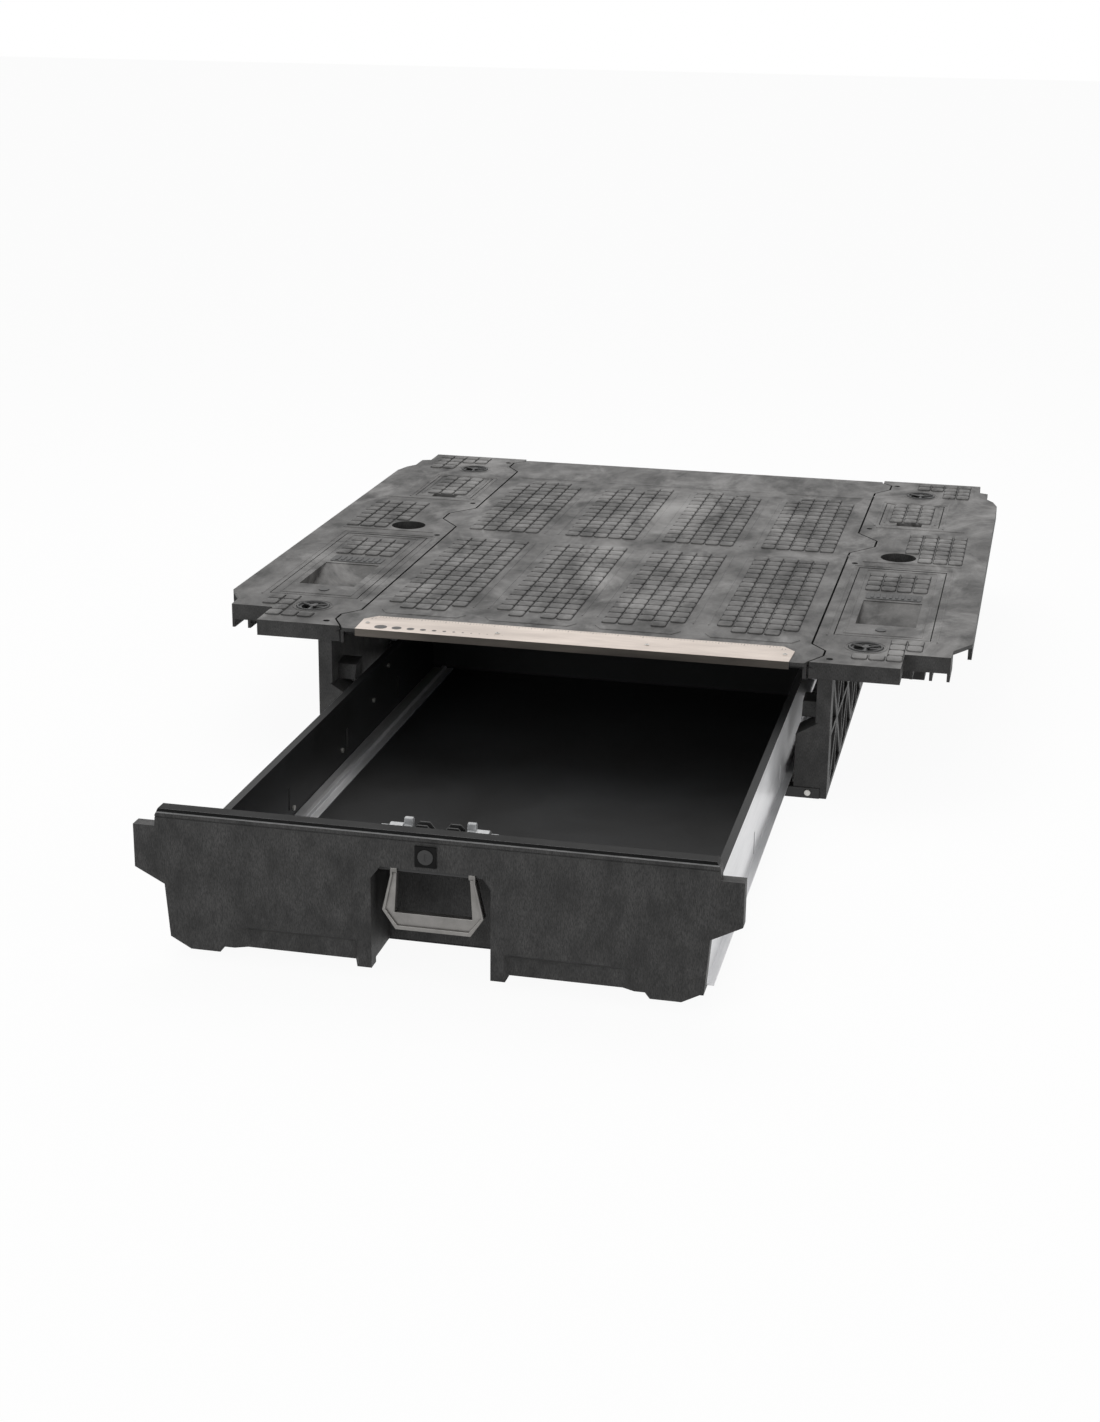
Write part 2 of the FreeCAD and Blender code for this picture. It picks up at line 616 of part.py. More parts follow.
# drawer tub: a floor and its walls, cut round the hand recess and for the tie slots
SLOT_YS = (-430, -75, 280)
tub = new_body("drawer_tub")
tub_front = "front_y + front_thick"
recess_back = "front_y + recess_deep + recess_wall"
box(tub, ("-tub_half", "tub_half"), (tub_front, "tub_back"), ("tub_low", "tub_low + tub_floor"))
box(tub, (-104, 104), ("front_y", recess_back), (0, 200), cut=True)
nodes.append(tub)
wall_z = ("tub_low + tub_floor", "tub_top")
walls = []
for sign in (1, -1):
    wall = new_body("tub_wall")
    box(wall, side(sign, "tub_half - tub_wall", "tub_half"), (tub_front, "tub_back"), wall_z)
    for y in SLOT_YS:
        box(wall, side(sign, "tub_half - 10", "tub_half + 10"), (y - 5, y + 5),
            ("slot_low", "slot_high"), cut=True)
    walls.append(wall)
    walls.append(plain_box(side(sign, 104, "tub_half - tub_wall"),
                           (tub_front, tub_front + " + tub_wall"), wall_z))
walls.append(plain_box(("-tub_half + tub_wall", "tub_half - tub_wall"),
                       ("tub_back - tub_wall", "tub_back"), wall_z))
nodes.append(group("tub_walls", walls))

# galvanised side rails: web outside the tub, a folded top, a foot that runs on the rollers
for sign, tag in ((1, "right"), (-1, "left")):
    rail = new_body("drawer_rail_" + tag)
    w = V["tub_half"]
    g = V["rail_thick"]
    top = V["tub_top"]
    low = V["rail_low"]
    profile = [
        (w, top), (w, low), (V["rail_foot"], low), (V["rail_foot"], low + g), (w + g, low + g),
        (w + g, top + g), (V["rail_in"], top + g), (V["rail_in"], top - 9),
        (V["rail_in"] + g, top - 9), (V["rail_in"] + g, top),
    ]
    prism(rail, "y", tub_front, "tub_back", [mirrored(profile, sign)])
    for y in SLOT_YS:
        box(rail, side(sign, "tub_half - 2", "tub_half + 10"), (y - 5, y + 5),
            ("slot_low", "slot_high"), cut=True)
    for low, high in ((tub_front, tub_front + " + tub_wall"), ("tub_back - tub_wall", "tub_back")):
        box(rail, side(sign, "rail_in - 1", "tub_half - tub_wall"), (low, high),
            ("tub_top - 10", "tub_top"), cut=True)
    nodes.append(rail)
    strip = new_body("floor_strip_" + tag)
    base = V["tub_low"] + V["tub_floor"]
    profile = [
        (w - 52, base), (w - 5, base), (w - 5, base + 2), (w - 22, base + 2), (w - 25, base + 7),
        (w - 34, base + 7), (w - 37, base + 2), (w - 52, base + 2),
    ]
    prism(strip, "y", "front_y + 120", "tub_back - 8", [mirrored(profile, sign)])
    nodes.append(strip)
BOLT_SPOTS = ((-406, 47), (-110, 60), (102, 98), (211, 141), (-700, 141))
nodes.append(group("tub_bolts", [
    plain_rod("x", ("tub_half - tub_wall - 3", y, z), 5, 3) for y, z in BOLT_SPOTS]
    + [plain_rod("x", ("-tub_half + tub_wall", y, z), 5, 3) for y, z in BOLT_SPOTS]))

# rubber stops on the tub's back wall
nodes.append(group("rear_bumpers", [
    plain_box((x - 20, x + 20), ("tub_back", "tub_back + 12"), (70, 110)) for x in (-300, 300)]))

# pull handle on a pin across the hand recess
handle = new_body("pull_handle")
half = [
    (58, 190), (58, 180), (68, 122), (50, 118), (50, 116), (-50, 116), (-50, 118), (-68, 122),
    (-58, 180), (-58, 190), (-70, 190), (-70, 180), (-84, 120), (-62, 88), (62, 88), (84, 120),
    (70, 180), (70, 190),
]
depth = ("pivot_y - handle_half", "pivot_y + handle_half")
prism(handle, "y", depth[0], depth[1], [half])
for x in (58, -70):
    rod(handle, "x", (x, "pivot_y", "pivot_z"), "handle_half", 12)
for x in (57, -71):
    rod(handle, "x", (x, "pivot_y", "pivot_z"), "pin_radius + bore_play", 14, cut=True)
nodes.append(handle)
pin = new_body("handle_pin")
rod(pin, "x", ("-recess_half + 9.5", "pivot_y", "pivot_z"), "pin_radius", "2*recess_half - 19")
nodes.append(pin)

# twin latch claws on one shaft behind the lip, with the brackets that hold it
claws = new_body("latch_claws")
rod(claws, "x", (-76, "latch_y", "latch_z"), "pin_radius", 152)
claw = [(-951, 228), (-931, 226), (-924, 240), (-921, 258), (-926, 262), (-934, 262),
        (-936, 250), (-951, 246)]
for x in (-69, 45):
    prism(claws, "x", x, x + 24, [claw])
nodes.append(claws)
nodes.append(group("latch_brackets", [
    plain_box((x, x + 8), ("front_y + front_thick", -928), (222, 250)) for x in (-84.2, 76.2)]
    + [plain_box((-24, 24), ("front_y + front_thick", -952), (212, 246))]))

# square lock bezel and its cylinder
bezel = new_body("lock_bezel")
box(bezel, ("lock_x - 17.5", "lock_x + 17.5"), ("front_y - 3", "front_y"),
    ("lock_z - 17.5", "lock_z + 17.5"))
rod(bezel, "y", ("lock_x", "front_y - 5", "lock_z"), "lock_radius + 0.4", 10, cut=True)
nodes.append(bezel)
key = new_body("drawer_lock")
rod(key, "y", ("lock_x", "front_y - 4", "lock_z"), "lock_radius", 4)
box(key, ("lock_x - 1.5", "lock_x + 1.5"), ("front_y - 5", "front_y - 3"),
    ("lock_z - 6", "lock_z + 6"), cut=True)
nodes.append(key)

for node in nodes:
    node.setExpression("Placement.Base.y", bound("-origin_back"))
doc.recompute()
for item in doc.Objects:
    bad = [word for word in item.State if word in ("Invalid", "Error")]
    if bad:
        raise RuntimeError("%s is %s" % (item.Label, bad))
os.makedirs("parts", exist_ok=True)
for node in nodes:
    shape = node.Shape
    if shape.isNull() or not shape.isValid() or not shape.Solids:
        raise RuntimeError("bad shape: " + node.Label)
    shape.exportStep(os.path.join("parts", node.Label + ".step"))
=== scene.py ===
"""Looks of the bed drawer system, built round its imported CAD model. Everything is in metres."""
import json
import math

import bmesh
import bpy
from mathutils import Matrix, Vector


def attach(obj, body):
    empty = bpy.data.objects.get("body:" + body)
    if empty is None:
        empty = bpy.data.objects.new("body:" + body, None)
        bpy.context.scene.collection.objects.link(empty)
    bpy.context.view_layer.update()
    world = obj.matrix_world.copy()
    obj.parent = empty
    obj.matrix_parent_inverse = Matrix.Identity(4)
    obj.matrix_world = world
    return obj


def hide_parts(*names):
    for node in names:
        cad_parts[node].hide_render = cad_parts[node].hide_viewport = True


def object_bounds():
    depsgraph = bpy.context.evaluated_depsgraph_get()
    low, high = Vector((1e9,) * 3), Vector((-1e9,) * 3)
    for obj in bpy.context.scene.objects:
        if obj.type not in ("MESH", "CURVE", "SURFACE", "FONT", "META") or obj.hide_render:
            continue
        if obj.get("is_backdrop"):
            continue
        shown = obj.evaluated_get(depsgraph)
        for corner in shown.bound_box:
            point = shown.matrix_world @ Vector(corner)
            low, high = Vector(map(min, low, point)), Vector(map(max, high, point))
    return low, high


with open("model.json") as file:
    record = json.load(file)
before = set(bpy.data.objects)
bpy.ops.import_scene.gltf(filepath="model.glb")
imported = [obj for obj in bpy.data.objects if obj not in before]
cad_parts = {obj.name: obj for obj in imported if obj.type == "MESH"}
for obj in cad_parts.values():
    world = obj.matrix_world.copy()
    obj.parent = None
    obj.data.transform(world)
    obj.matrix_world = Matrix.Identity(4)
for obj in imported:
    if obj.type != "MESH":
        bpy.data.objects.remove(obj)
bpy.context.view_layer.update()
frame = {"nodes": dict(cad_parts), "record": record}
nodes = frame["nodes"]
SLOT_OF = {item["node"]: item["material_slot"] for item in frame["record"]["subparts"]}
BODY_OF = {}
for body_name, members in frame["record"]["behaviour"]["bodies"].items():
    for member in members:
        BODY_OF[member] = body_name

# the CAD is measured in millimetres from the front edge of the strip, which lies 31 mm
# in front of the row's origin
STRIP_Y = 31.0
DECK_TOP = 280.0
PAD_TOP = 283.0


def at(x, y, z):
    """A point in metres from millimetres measured as the CAD measures them."""
    return Vector((x / 1000, (y - STRIP_Y) / 1000, z / 1000))


# ---------------------------------------------------------------- camera
IMAGE_HIGH = 1422
FOCAL_PIXELS = 2250.07
YAW, PITCH, ROLL = (math.radians(a) for a in (12.66061, 18.47686, -0.70321))
CAMERA_AT = (0.89743, -4.17360, 1.55994)
forward = Vector((-math.sin(YAW) * math.cos(PITCH), math.cos(YAW) * math.cos(PITCH),
                  -math.sin(PITCH)))
right = Vector((math.cos(YAW), math.sin(YAW), 0))
down = forward.cross(right)
right, down = (math.cos(ROLL) * right + math.sin(ROLL) * down,
               -math.sin(ROLL) * right + math.cos(ROLL) * down)
lens = bpy.data.cameras.new("view")
lens.sensor_width = 36.0
lens.lens = FOCAL_PIXELS / IMAGE_HIGH * lens.sensor_width
lens.clip_end = 100
camera = bpy.data.objects.new("view", lens)
camera.matrix_world = (Matrix.Translation(CAMERA_AT)
                       @ Matrix((right, -down, -forward)).transposed().to_4x4())
bpy.context.scene.collection.objects.link(camera)
bpy.context.scene.camera = camera
bpy.context.scene.view_settings.view_transform = "Standard"


# ---------------------------------------------------------------- light, world and floor
def lamp(name, spot, aim, size, watts, colour=(1, 1, 1)):
    data = bpy.data.lights.new(name, "AREA")
    data.shape = "RECTANGLE"
    data.size, data.size_y = size
    data.energy = watts
    data.color = colour
    obj = bpy.data.objects.new(name, data)
    obj.location = spot
    obj.rotation_euler = (Vector(aim) - Vector(spot)).to_track_quat("-Z", "Y").to_euler()
    bpy.context.scene.collection.objects.link(obj)
    return obj


lamp("top_softbox", (-0.6, 1.4, 3.4), (0, 0.4, 0.2), (3.2, 2.4), 58, (1.0, 0.985, 0.97))
lamp("front_softbox", (-1.9, -4.2, 1.9), (0, -0.8, 0.15), (2.2, 1.6), 42, (0.97, 0.985, 1.0))
lamp("right_softbox", (3.4, -1.6, 1.3), (0.3, -0.2, 0.1), (1.8, 1.4), 30)


def link(tree, start, end):
    tree.links.new(start, end)


def seen_directly(tree):
    """1 for a ray from the camera or one that a gloss or glass sends on, else 0."""
    rays = tree.nodes.new("ShaderNodeLightPath")
    first = tree.nodes.new("ShaderNodeMath")
    first.operation = "MAXIMUM"
    link(tree, rays.outputs["Is Camera Ray"], first.inputs[0])
    link(tree, rays.outputs["Is Glossy Ray"], first.inputs[1])
    second = tree.nodes.new("ShaderNodeMath")
    second.operation = "MAXIMUM"
    link(tree, first.outputs[0], second.inputs[0])
    link(tree, rays.outputs["Is Transmission Ray"], second.inputs[1])
    return second.outputs[0]


world = bpy.data.worlds.new("studio")
bpy.context.scene.world = world
world.use_nodes = True
tree = world.node_tree
tree.nodes.clear()
soft = tree.nodes.new("ShaderNodeBackground")
soft.inputs["Strength"].default_value = 0.5
white = tree.nodes.new("ShaderNodeBackground")
white.inputs["Strength"].default_value = 1.0
for background in (soft, white):
    background.inputs["Color"].default_value = (1, 1, 1, 1)
choice = tree.nodes.new("ShaderNodeMixShader")
link(tree, seen_directly(tree), choice.inputs[0])
link(tree, soft.outputs[0], choice.inputs[1])
link(tree, white.outputs[0], choice.inputs[2])
sky = tree.nodes.new("ShaderNodeOutputWorld")
link(tree, choice.outputs[0], sky.inputs["Surface"])

floor_mat = bpy.data.materials.new("studio_floor")
floor_mat.use_nodes = True
tree = floor_mat.node_tree
tree.nodes.clear()
matt = tree.nodes.new("ShaderNodeBsdfDiffuse")
matt.inputs["Color"].default_value = (0.9, 0.9, 0.9, 1)
glow = tree.nodes.new("ShaderNodeEmission")
glow.inputs["Strength"].default_value = 1.0
share = tree.nodes.new("ShaderNodeMath")
share.operation = "MULTIPLY"
share.inputs[1].default_value = 0.94
link(tree, seen_directly(tree), share.inputs[0])
choice = tree.nodes.new("ShaderNodeMixShader")
link(tree, share.outputs[0], choice.inputs[0])
link(tree, matt.outputs[0], choice.inputs[1])
link(tree, glow.outputs[0], choice.inputs[2])
result = tree.nodes.new("ShaderNodeOutputMaterial")
link(tree, choice.outputs[0], result.inputs["Surface"])

REACH = 30.0
corners = [(-REACH, -REACH, 0), (REACH, -REACH, 0), (REACH, REACH, 0), (-REACH, REACH, 0)]
floor_mesh = bpy.data.meshes.new("studio_floor")
floor_mesh.from_pydata(corners, [], [(0, 1, 2, 3)])
floor_mesh.materials.append(floor_mat)
floor = bpy.data.objects.new("studio_floor", floor_mesh)
bpy.context.scene.collection.objects.link(floor)
floor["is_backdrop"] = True


# ---------------------------------------------------------------- materials
def noise(tree, coords, scale, stretch=(1, 1, 1), detail=4.0, rough=0.55, twist=0.0):
    mapping = tree.nodes.new("ShaderNodeMapping")
    mapping.inputs["Scale"].default_value = stretch
    link(tree, coords, mapping.inputs["Vector"])
    node = tree.nodes.new("ShaderNodeTexNoise")
    node.inputs["Scale"].default_value = scale
    node.inputs["Detail"].default_value = detail
    node.inputs["Roughness"].default_value = rough
    node.inputs["Distortion"].default_value = twist
    link(tree, mapping.outputs["Vector"], node.inputs["Vector"])
    return node.outputs["Fac"]


def spread(tree, value, low, high, to_low=0.0, to_high=1.0):
    node = tree.nodes.new("ShaderNodeMapRange")
    node.inputs["From Min"].default_value = low
    node.inputs["From Max"].default_value = high
    node.inputs["To Min"].default_value = to_low
    node.inputs["To Max"].default_value = to_high
    link(tree, value, node.inputs["Value"])
    return node.outputs["Result"]


def blend_colours(tree, factor, first, second, mode="MIX"):
    node = tree.nodes.new("ShaderNodeMix")
    node.data_type = "RGBA"
    node.blend_type = mode
    mixed = ((node.inputs[0], factor), (node.inputs[6], first), (node.inputs[7], second))
    for socket, value in mixed:
        if isinstance(value, bpy.types.NodeSocket):
            link(tree, value, socket)
        elif isinstance(value, (int, float)):
            socket.default_value = value
        else:
            socket.default_value = (*value, 1)
    return node.outputs[2]


def grey(level, warm=0.0):
    return (level * (1 + warm), level, level * (1 - warm))


def finish(name, dark, light, rough, metallic=0.0, blotch=6.0, grain=900.0, stretch=(1, 1, 1),
           grain_stretch=(1, 1, 1), bump=0.2, relief=0.0003, gloss=0.5, speck=0.12, smear=None):
    """A surface with cloudy colour, fine grain in colour and relief, and uneven gloss."""
    mat = bpy.data.materials.new(name)
    mat.use_nodes = True
    tree = mat.node_tree
    shader = tree.nodes["Principled BSDF"]
    coords = tree.nodes.new("ShaderNodeTexCoord").outputs["Object"]
    cloud = noise(tree, coords, blotch, stretch, 6.0, 0.62, 0.25)
    fine = noise(tree, coords, grain, grain_stretch, 2.0, 0.6)
    colour = blend_colours(tree, spread(tree, cloud, 0.34, 0.66), dark, light)
    if smear:
        strength, colour_of, scale, direction = smear
        patches = noise(tree, coords, scale, direction, 5.0, 0.7, 0.6)
        colour = blend_colours(tree, spread(tree, patches, 0.5, 0.74, 0, strength), colour, colour_of)
    shade = spread(tree, fine, 0.3, 0.7, 1 - speck, 1 + speck)
    tint = tree.nodes.new("ShaderNodeCombineColor")
    for channel in range(3):
        link(tree, shade, tint.inputs[channel])
    grained = blend_colours(tree, 1.0, colour, tint.outputs[0], "MULTIPLY")
    link(tree, grained, shader.inputs["Base Color"])
    link(tree, spread(tree, cloud, 0.3, 0.7, rough[0], rough[1]), shader.inputs["Roughness"])
    shader.inputs["Metallic"].default_value = metallic
    shader.inputs["Specular IOR Level"].default_value = gloss
    surface = tree.nodes.new("ShaderNodeBump")
    surface.inputs["Strength"].default_value = bump
    surface.inputs["Distance"].default_value = relief
    link(tree, fine, surface.inputs["Height"])
    link(tree, surface.outputs["Normal"], shader.inputs["Normal"])
    return mat


LOOKS = {
    "deck": finish("deck_grey", grey(0.016, 0.04), grey(0.10, 0.03), (0.62, 0.42), blotch=15,
                   stretch=(1, 0.6, 1), grain=520, bump=0.35, gloss=0.42,
                   smear=(0.9, grey(0.27, 0.02), 5.2, (1, 0.55, 1))),
    "moulding_black": finish("moulding_grain", grey(0.014, 0.02), grey(0.034, 0.02), (0.62, 0.48),
                             blotch=30, stretch=(1, 1, 0.6), grain=1000, grain_stretch=(1, 1, 0.2),
                             bump=0.9, relief=0.0005, gloss=0.35, speck=0.75),
    "tub_black": finish("tub_satin", grey(0.006), grey(0.0135, -0.05), (0.4, 0.52), blotch=3.0,
                        grain=700, bump=0.08, gloss=0.22),
    "strip_metal": finish("strip_brushed", (0.50, 0.425, 0.37), (0.68, 0.60, 0.54), (0.26, 0.42), 0.85,
                          blotch=14, stretch=(0.25, 1, 1), grain=900, grain_stretch=(0.03, 1, 1),
                          bump=0.25, speck=0.1),
    "galvanised": finish("galvanised_sheet", (0.58, 0.585, 0.595), (0.72, 0.72, 0.73),
                         (0.26, 0.38), 0.8, blotch=11, stretch=(1, 0.25, 1), grain=260,
                         grain_stretch=(1, 0.03, 1), bump=0.12, speck=0.05),
    "bar_steel": finish("black_coat", grey(0.012), grey(0.028), (0.42, 0.58), blotch=12, grain=800,
                        bump=0.2, gloss=0.4),
    "fastener": finish("zinc_plate", (0.40, 0.39, 0.37), (0.66, 0.65, 0.62), (0.28, 0.42), 0.9,
                       blotch=90, grain=1500, bump=0.15),
    "handle_metal": finish("satin_cast", (0.17, 0.165, 0.157), (0.27, 0.26, 0.25), (0.34, 0.46), 0.8,
                           blotch=18, grain=1400, bump=0.3, speck=0.08),
    "claw_metal": finish("zinc_cast", (0.28, 0.285, 0.29), (0.42, 0.425, 0.43), (0.4, 0.55), 0.6,
                         blotch=60, grain=1300, bump=0.3, speck=0.08),
    "rubber_black": finish("rubber_matte", grey(0.012), grey(0.022), (0.75, 0.88), blotch=30,
                           grain=1100, bump=0.3, gloss=0.3),
    "roller_plastic": finish("roller_moulding", grey(0.03), grey(0.05), (0.4, 0.5), blotch=40,
                             grain=900, bump=0.15, gloss=0.45),
}
MARK = finish("strip_mark", (0.045, 0.042, 0.04), (0.075, 0.07, 0.066), (0.45, 0.6), 0.2, blotch=80,
              grain=1500)
# painted shade: a dark material for the gaps between pads and between panels
GAP_SHADE = finish("painted_gap_shade", grey(0.010), grey(0.022), (0.7, 0.8), blotch=20, grain=900, gloss=0.25)
# painted highlight: a lighter grey for the ledges and edges that face the light
LEDGE_HIGHLIGHT = finish("painted_ledge_highlight", grey(0.16), grey(0.26), (0.4, 0.5), blotch=25, grain=900, gloss=0.5)
# painted shade: a darker copy of the strip's metal for its front lip
LIP_SHADE = finish("strip_lip", (0.05, 0.045, 0.04), (0.13, 0.115, 0.10), (0.35, 0.5), 0.6, blotch=12,
             stretch=(0.2, 1, 1), grain=900)
GLOSS = finish("lip_black", grey(0.004), grey(0.009), (0.4, 0.55), blotch=20, grain=900,
               bump=0.05, gloss=0.08)
CAP = finish("cap_moulding", grey(0.010), grey(0.022), (0.4, 0.55), blotch=30, grain=800,
             bump=0.25, gloss=0.5)

for name, obj in nodes.items():
    for item in obj.material_slots:
        item.material = LOOKS[SLOT_OF[name]]


# ---------------------------------------------------------------- mesh helpers
# edges that turn more than this stay sharp in shading and are rounded by a bevel
CREASE = math.radians(32)


def add_piece(name, bm, look, body):
    """Turns a bmesh into a piece that rides on a body, smooth except at its sharp edges."""
    bmesh.ops.recalc_face_normals(bm, faces=bm.faces[:])
    mesh = bpy.data.meshes.new(name)
    bm.to_mesh(mesh)
    bm.free()
    mesh.materials.append(look)
    mesh.shade_smooth()
    mesh.set_sharp_from_angle(angle=CREASE)
    obj = bpy.data.objects.new(name, mesh)
    bpy.context.scene.collection.objects.link(obj)
    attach(obj, body)
    return obj


def loft(bm, rings, closed=True):
    """Skins a row of rings of equal length and closes both ends."""
    rows = [[bm.verts.new(p) for p in ring] for ring in rings]
    count = len(rows[0])
    for low, high in zip(rows, rows[1:]):
        for i in range(count if closed else count - 1):
            j = (i + 1) % count
            bm.faces.new((low[i], low[j], high[j], high[i]))
    if closed:
        bm.faces.new(rows[0])
        bm.faces.new(rows[-1])


def round_rect(x, y, z, half_x, half_y, radius, steps=3):
    """A rectangle with round corners, round the point (x, y), in millimetres."""
    points = []
    for turn, (sx, sy) in enumerate(((1, 1), (-1, 1), (-1, -1), (1, -1))):
        for step in range(steps + 1):
            angle = math.pi / 2 * (turn + step / steps)
            points.append(at(x + sx * (half_x - radius) + radius * math.cos(angle),
                             y + sy * (half_y - radius) + radius * math.sin(angle), z))
    return points


def circle(u, v, radius, steps=40):
    """Points round (u, v) in any plane, in millimetres."""
    turns = [2 * math.pi * i / steps for i in range(steps)]
    return [(u + radius * math.cos(a), v + radius * math.sin(a)) for a in turns]


def disc(x, y, z, radius):
    """The ring of a round plate's edge."""
    return [at(u, v, z) for u, v in circle(x, y, radius, 32)]


def block(bm, x, y, half_x, half_y, low, high, radius=1.0, edge=0.4):
    """A plate with round corners and a soft upper edge."""
    loft(bm, [round_rect(x, y, low, half_x, half_y, radius),
              round_rect(x, y, high - edge, half_x, half_y, radius),
              round_rect(x, y, high, half_x - edge, half_y - edge, max(radius - edge, 0.1))])


PAD_WIDE = 29.5
PAD_LONG = 33.6
PAD_CORNER = 6.5
# height and how far in from the edge, from a pad's foot to its top
PAD_RINGS = ((DECK_TOP - 0.2, 0.0), (281.6, 0.0), (282.5, 0.5), (PAD_TOP, 1.7))
# pitch of the pads across and along the deck
PITCH_X = 33.8
PITCH_Y = 38.6


def tread_pad(bm, x, y):
    """One rounded pad that stands on the deck; (x, y) is its corner."""
    cx, cy = x + PAD_WIDE / 2, y + PAD_LONG / 2
    loft(bm, [round_rect(cx, cy, z, PAD_WIDE / 2 - inset, PAD_LONG / 2 - inset, PAD_CORNER - inset)
              for z, inset in PAD_RINGS])


def bead(bm, path, wide, high, z=DECK_TOP, closed=False):
    """A low ridge of trapezoid section along a path on the deck, in millimetres."""
    count = len(path)
    rows = []
    for i, (x, y) in enumerate(path):
        before = path[i - 1] if closed or i > 0 else None
        after = path[(i + 1) % count] if closed or i < count - 1 else None
        normals = []
        for start, end in ((before, (x, y)), ((x, y), after)):
            if start is None or end is None:
                continue
            dx, dy = end[0] - start[0], end[1] - start[1]
            size = math.hypot(dx, dy)
            normals.append((-dy / size, dx / size))
        nx = sum(n[0] for n in normals) / len(normals)
        ny = sum(n[1] for n in normals) / len(normals)
        scale = 1 / max(nx * nx + ny * ny, 0.2)
        nx, ny = nx * scale, ny * scale
        section = ((-wide / 2, z - 0.1), (-wide / 4, z + high),
                   (wide / 4, z + high), (wide / 2, z - 0.1))
        rows.append([at(x + nx * off, y + ny * off, height) for off, height in section])
    verts = [[bm.verts.new(p) for p in row] for row in rows]
    for i in range(count if closed else count - 1):
        first, second = verts[i], verts[(i + 1) % count]
        for k in range(4):
            m = (k + 1) % 4
            bm.faces.new((first[k], first[m], second[m], second[k]))
    if not closed:
        bm.faces.new(verts[0])
        bm.faces.new(verts[-1])


def bevelled(obj, wide, segments=2):
    """Rounds an object's sharp edges for good, and keeps its flat faces flat."""
    bevel = obj.modifiers.new("edges", "BEVEL")
    bevel.width = wide / 1000
    bevel.segments = segments
    bevel.limit_method = "ANGLE"
    bevel.angle_limit = CREASE
    bevel.use_clamp_overlap = True
    weight = obj.modifiers.new("shading", "WEIGHTED_NORMAL")
    weight.keep_sharp = True
    graph = bpy.context.evaluated_depsgraph_get()
    solid = obj.evaluated_get(graph)
    mesh = bpy.data.meshes.new_from_object(solid, preserve_all_data_layers=True, depsgraph=graph)
    obj.modifiers.clear()
    obj.data = mesh


def paint(obj, look, chosen):
    """Gives another look to the faces for which chosen(centre, normal), in millimetres, holds."""
    obj.data.materials.append(look)
    index = len(obj.data.materials) - 1
    for face in obj.data.polygons:
        x, y, z = face.center * 1000
        if chosen((x, y + STRIP_Y, z), face.normal):
            face.material_index = index


def softened(name, wide, look=None, flat_above=None, segments=2, shape=None):
    """Stands for a CAD node: its own solid with rounded edges, and without its pads if asked."""
    bm = bmesh.new()
    bm.from_mesh(nodes[name].data)
    bmesh.ops.remove_doubles(bm, verts=bm.verts[:], dist=1e-6)
    if flat_above is not None:
        raised = [v for v in bm.verts if v.co.z > flat_above / 1000]
        bmesh.ops.delete(bm, geom=raised, context="VERTS")
        rims = [e for e in bm.edges if e.is_boundary]
        bmesh.ops.holes_fill(bm, edges=rims, sides=0)
    flat = math.radians(1.0)
    bmesh.ops.dissolve_limit(bm, angle_limit=flat, verts=bm.verts[:], edges=bm.edges[:])
    if shape:
        shape(bm)
    slot = SLOT_OF[name]
    obj = add_piece(name + "_soft", bm, look or LOOKS[slot], BODY_OF[name])
    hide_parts(name)
    if wide:
        bevelled(obj, wide, segments)
    return obj


# ---------------------------------------------------------------- deck, lids and hatches
SIDES = ((1, "right"), (-1, "left"))
FLAT = DECK_TOP + 0.1
# how far the panels' edges are rounded
PANEL_EDGE = 0.9
# how far a dark plate of painted shade reaches past the pads that stand on it
SHADE_REACH = 1.3
# the dark plates below the pads, painted shade for the gaps between them, one mesh for each body
pad_shade_plates = {}


def pad_rows(bm, x, y, rows, sign=1, body="case"):
    """A column of pads from the corner (x, y) back, with a dark plate below as painted shade in the
    gaps; mirrored if sign is -1.
    """
    corner = x if sign > 0 else -x - PAD_WIDE
    half = (rows * PITCH_Y - PITCH_Y + PAD_LONG) / 2
    plate = pad_shade_plates.setdefault(body, bmesh.new())
    block(plate, corner + PAD_WIDE / 2, y + half, PAD_WIDE / 2 + SHADE_REACH, half + SHADE_REACH,
          DECK_TOP - 0.2, DECK_TOP + 0.25, PAD_CORNER, 0.1)
    for row in range(rows):
        tread_pad(bm, corner, y + row * PITCH_Y)


def gets_skirt_shade(spot, normal):
    """Holds for the upright faces of a deck panel, which get the darker moulding look as painted shade.
    """
    return spot[2] < 279 and abs(normal.z) < 0.5


middle = softened("deck_center", PANEL_EDGE, flat_above=FLAT)
# painted shade: the panel's upright faces get the darker moulding look
paint(middle, LOOKS["moulding_black"], gets_skirt_shade)
# left edge of a group of five columns, and the columns that start one pad nearer the front
GROUPS = (
    (-429.0, (0, 1, 1, 1, 0)),
    (-197.0, (0, 1, 0, 1, 1)),
    (32.3, (1, 1, 0, 1, 0)),
    (264.3, (0, 1, 1, 1, 0)),
)
FRONT_ROW = 213.0
BACK_ROW = 870.0
pads = bmesh.new()
for start, extras in GROUPS:
    for i, extra in enumerate(extras):
        pad_rows(pads, start + i * PITCH_X, FRONT_ROW - extra * PITCH_Y, 15 + extra)
        pad_rows(pads, start + i * PITCH_X, BACK_ROW, 13 + extra)
add_piece("tread_pads_center", pads, LOOKS["deck"], "case")

ridges = bmesh.new()
for low, high in ((-410, -262), (-190, -30), (40, 185), (265, 425)):
    bead(ridges, [(low - 14, 152), (low, 130), (high, 130), (high + 14, 152)], 5, 1.3)
for x in (-247, -215, -16, 16, 215, 247):
    bead(ridges, [(x, 215), (x, 782)], 4, 0.8)
    bead(ridges, [(x, 872), (x, 1372)], 4, 0.8)
for low, high in ((-440, -250), (-210, -20), (20, 210), (250, 440)):
    bead(ridges, [(low, 1440), (high, 1440)], 4, 0.8)
add_piece("deck_ridges_center", ridges, LOOKS["deck"], "case")

